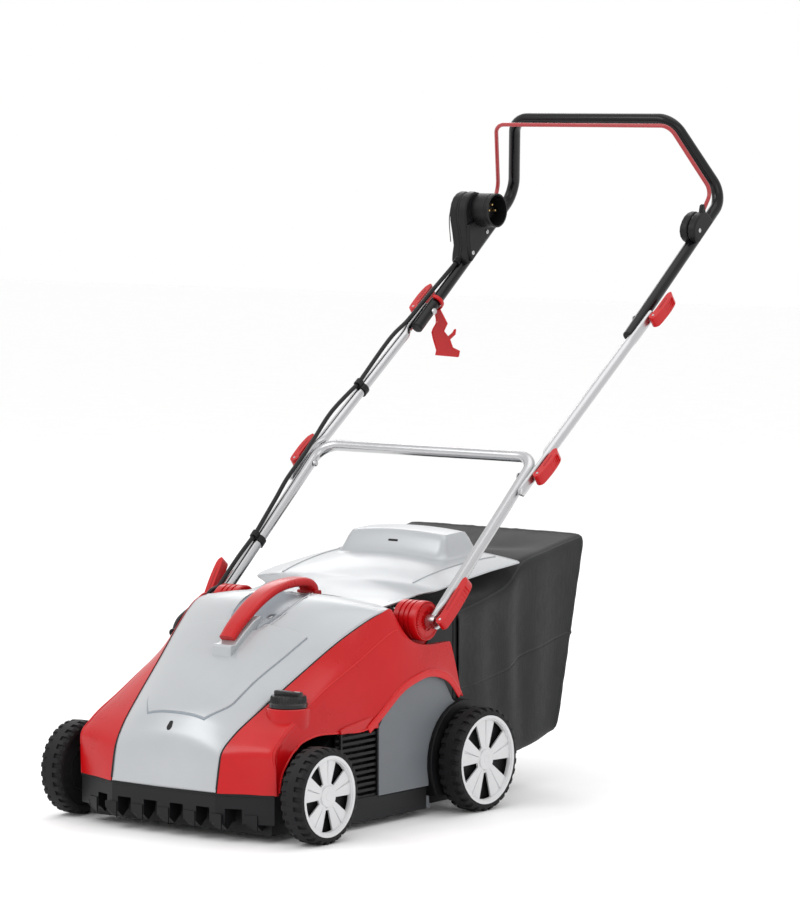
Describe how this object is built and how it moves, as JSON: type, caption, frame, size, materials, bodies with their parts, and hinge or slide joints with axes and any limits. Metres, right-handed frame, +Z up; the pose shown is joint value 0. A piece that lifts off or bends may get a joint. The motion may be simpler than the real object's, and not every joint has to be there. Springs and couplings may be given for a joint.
{
  "type": "electric lawn dethatcher",
  "caption": "Walk-behind electric lawn raker: wheeled housing with a spring-steel blade roller, belt drive, depth knob, folding tube handle with a sprung bail, and a fabric catcher.",
  "frame": {"origin": "centre of the bounding box on the ground plane under the tyres", "axes": "+Z up, -Y the machine's front with the low end of the hood, +Y towards the grip and the catcher, -X the side with the switch box and the cable"},
  "size_m": [0.558, 1.3022, 1.1751],
  "materials": {
    "silver_shell": "satin",
    "red_shell": "gloss",
    "black_plastic": "matte",
    "grey_plastic": "matte",
    "rubber": "matte",
    "white_rim": "satin",
    "bare_tube": "satin",
    "black_tube": "gloss",
    "steel": "satin",
    "motor_metal": "matte",
    "bag_fabric": "matte",
    "belt_rubber": "matte",
    "red_rod": "satin"
  },
  "bodies": {
    "housing": {"base_housing": "black_plastic", "hood": "silver_shell", "side_cover_left": "red_shell", "side_cover_right": "red_shell", "side_panel_left": "grey_plastic", "side_panel_right": "grey_plastic", "vent_grille_left": "black_plastic", "vent_grille_right": "black_plastic", "carry_handle": "red_shell", "rear_axle": "steel", "bearing_left": "steel", "bearing_right": "steel", "drive_belt": "belt_rubber", "motor_housing": "motor_metal", "flap_pin": "steel", "pivot_boss_left": "red_shell", "pivot_boss_right": "red_shell", "cable_inlet": "black_plastic"},
    "roller": {"tine_roller": "steel", "roller_pulley": "black_plastic"},
    "armature": {"armature": "steel"},
    "knob": {"depth_knob": "black_plastic"},
    "axle": {"front_axle": "steel"},
    "wheel_front_left": {"tyre_front_left": "rubber", "rim_front_left": "white_rim"},
    "wheel_front_right": {"tyre_front_right": "rubber", "rim_front_right": "white_rim"},
    "wheel_rear_left": {"tyre_rear_left": "rubber", "rim_rear_left": "white_rim"},
    "wheel_rear_right": {"tyre_rear_right": "rubber", "rim_rear_right": "white_rim"},
    "flap": {"rear_flap": "silver_shell"},
    "catcher": {"catcher_bag": "bag_fabric", "bag_frame": "black_plastic"},
    "lower_section": {"lower_frame": "bare_tube", "cable_lower": "black_plastic", "cable_clip_lower": "black_plastic", "pivot_bolt_left": "steel", "pivot_bolt_right": "steel", "mid_bolt_left": "steel", "mid_bolt_right": "steel"},
    "mid_section": {"mid_tube_left": "bare_tube", "mid_tube_right": "bare_tube", "cable_middle": "black_plastic", "cable_clip_upper": "black_plastic", "upper_bolt_left": "steel", "upper_bolt_right": "steel"},
    "upper_section": {"upper_handle": "black_tube", "switch_box": "black_plastic", "bail_pivot_box": "black_plastic", "cable_upper": "black_plastic"},
    "bail": {"bail": "red_rod"},
    "lock_button": {"lock_button": "red_shell"},
    "relief_hook": {"relief_hook": "red_shell"},
    "pivot_lever_left": {"pivot_lever_left": "red_shell"},
    "pivot_lever_right": {"pivot_lever_right": "red_shell"},
    "mid_lever_left": {"mid_lever_left": "red_shell"},
    "mid_lever_right": {"mid_lever_right": "red_shell"},
    "upper_lever_left": {"upper_lever_left": "red_shell"},
    "upper_lever_right": {"upper_lever_right": "red_shell"}
  },
  "joints": [
    {"name": "roller_spin", "type": "hinge", "parent": "housing", "child": "roller", "pos_m": [0, -0.41315, 0.08], "axis": [1, 0, 0], "continuous": true},
    {"name": "motor_spin", "type": "hinge", "parent": "housing", "child": "armature", "pos_m": [0, -0.39815, 0.222], "axis": [1, 0, 0], "continuous": true},
    {"name": "axle_lift", "type": "slide", "parent": "housing", "child": "axle", "axis": [0, 0, 1], "range_m": [0, 0.009]},
    {"name": "knob_turn", "type": "hinge", "parent": "housing", "child": "knob", "pos_m": [0.172, -0.53615, 0.2245], "axis": [0, 0, 1], "range_deg": [0, 180]},
    {"name": "front_wheel_left_spin", "type": "hinge", "parent": "axle", "child": "wheel_front_left", "pos_m": [-0.258, -0.56315, 0.079], "axis": [1, 0, 0], "continuous": true},
    {"name": "rear_wheel_left_spin", "type": "hinge", "parent": "housing", "child": "wheel_rear_left", "pos_m": [-0.258, -0.13015, 0.088], "axis": [1, 0, 0], "continuous": true},
    {"name": "front_wheel_right_spin", "type": "hinge", "parent": "axle", "child": "wheel_front_right", "pos_m": [0.258, -0.56315, 0.079], "axis": [1, 0, 0], "continuous": true},
    {"name": "rear_wheel_right_spin", "type": "hinge", "parent": "housing", "child": "wheel_rear_right", "pos_m": [0.258, -0.13015, 0.088], "axis": [1, 0, 0], "continuous": true},
    {"name": "flap_lift", "type": "hinge", "parent": "housing", "child": "flap", "pos_m": [0, -0.23815, 0.3465], "axis": [1, 0, 0], "range_deg": [0, 60]},
    {"name": "catcher_pull", "type": "slide", "parent": "housing", "child": "catcher", "axis": [0, 1, 0], "range_m": [0, 0.12]},
    {"name": "handle_fold", "type": "hinge", "parent": "housing", "child": "lower_section", "pos_m": [0, -0.22515, 0.329], "axis": [1, 0, 0], "range_deg": [0, 150], "deforming": ["cable_inlet", "cable_lower"]},
    {"name": "mid_fold", "type": "hinge", "parent": "lower_section", "child": "mid_section", "pos_m": [0, 0.03536, 0.55519], "axis": [-1, 0, 0], "range_deg": [0, 115], "deforming": ["cable_lower", "cable_middle"]},
    {"name": "upper_fold", "type": "hinge", "parent": "mid_section", "child": "upper_section", "pos_m": [0, 0.38685, 0.812], "axis": [1, 0, 0], "range_deg": [0, 135], "deforming": ["cable_middle", "cable_upper"]},
    {"name": "pivot_lever_left_swing", "type": "hinge", "parent": "lower_section", "child": "pivot_lever_left", "pos_m": [-0.2538, -0.22515, 0.329], "axis": [0, -0.766, 0.6428], "range_deg": [0, 100]},
    {"name": "pivot_lever_right_swing", "type": "hinge", "parent": "lower_section", "child": "pivot_lever_right", "pos_m": [0.2538, -0.22515, 0.329], "axis": [0, 0.766, -0.6428], "range_deg": [0, 100]},
    {"name": "mid_lever_left_swing", "type": "hinge", "parent": "mid_section", "child": "mid_lever_left", "pos_m": [-0.2662, 0.03536, 0.55519], "axis": [0, -0.59, 0.8074], "range_deg": [0, 100]},
    {"name": "mid_lever_right_swing", "type": "hinge", "parent": "mid_section", "child": "mid_lever_right", "pos_m": [0.2662, 0.03536, 0.55519], "axis": [0, 0.59, -0.8074], "range_deg": [0, 100]},
    {"name": "upper_lever_left_swing", "type": "hinge", "parent": "mid_section", "child": "upper_lever_left", "pos_m": [-0.2662, 0.38685, 0.812], "axis": [0, -0.59, 0.8074], "range_deg": [0, 100]},
    {"name": "upper_lever_right_swing", "type": "hinge", "parent": "mid_section", "child": "upper_lever_right", "pos_m": [0.2662, 0.38685, 0.812], "axis": [0, 0.59, -0.8074], "range_deg": [0, 100]},
    {"name": "bail_squeeze", "type": "hinge", "parent": "upper_section", "child": "bail", "pos_m": [0, 0.57535, 0.985], "axis": [-1, 0, 0], "range_deg": [0, 7], "stiffness_Nm_per_rad": 3, "springref_deg": -11.46},
    {"name": "lock_press", "type": "slide", "parent": "upper_section", "child": "lock_button", "axis": [1, 0, 0], "range_m": [0, 0.0035], "stiffness_N_per_m": 300, "springref_m": -0.003},
    {"name": "hook_swing", "type": "hinge", "parent": "upper_section", "child": "relief_hook", "pos_m": [-0.2345, 0.40718, 0.8282], "axis": [0, 0.782, 0.6233], "range_deg": [-20, 20]}
  ],
  "couplings": [
    {"joint": "motor_spin", "follows": "roller_spin", "ratio": 2.8696},
    {"joint": "knob_turn", "follows": "axle_lift", "rad_per_m": 349}
  ]
}
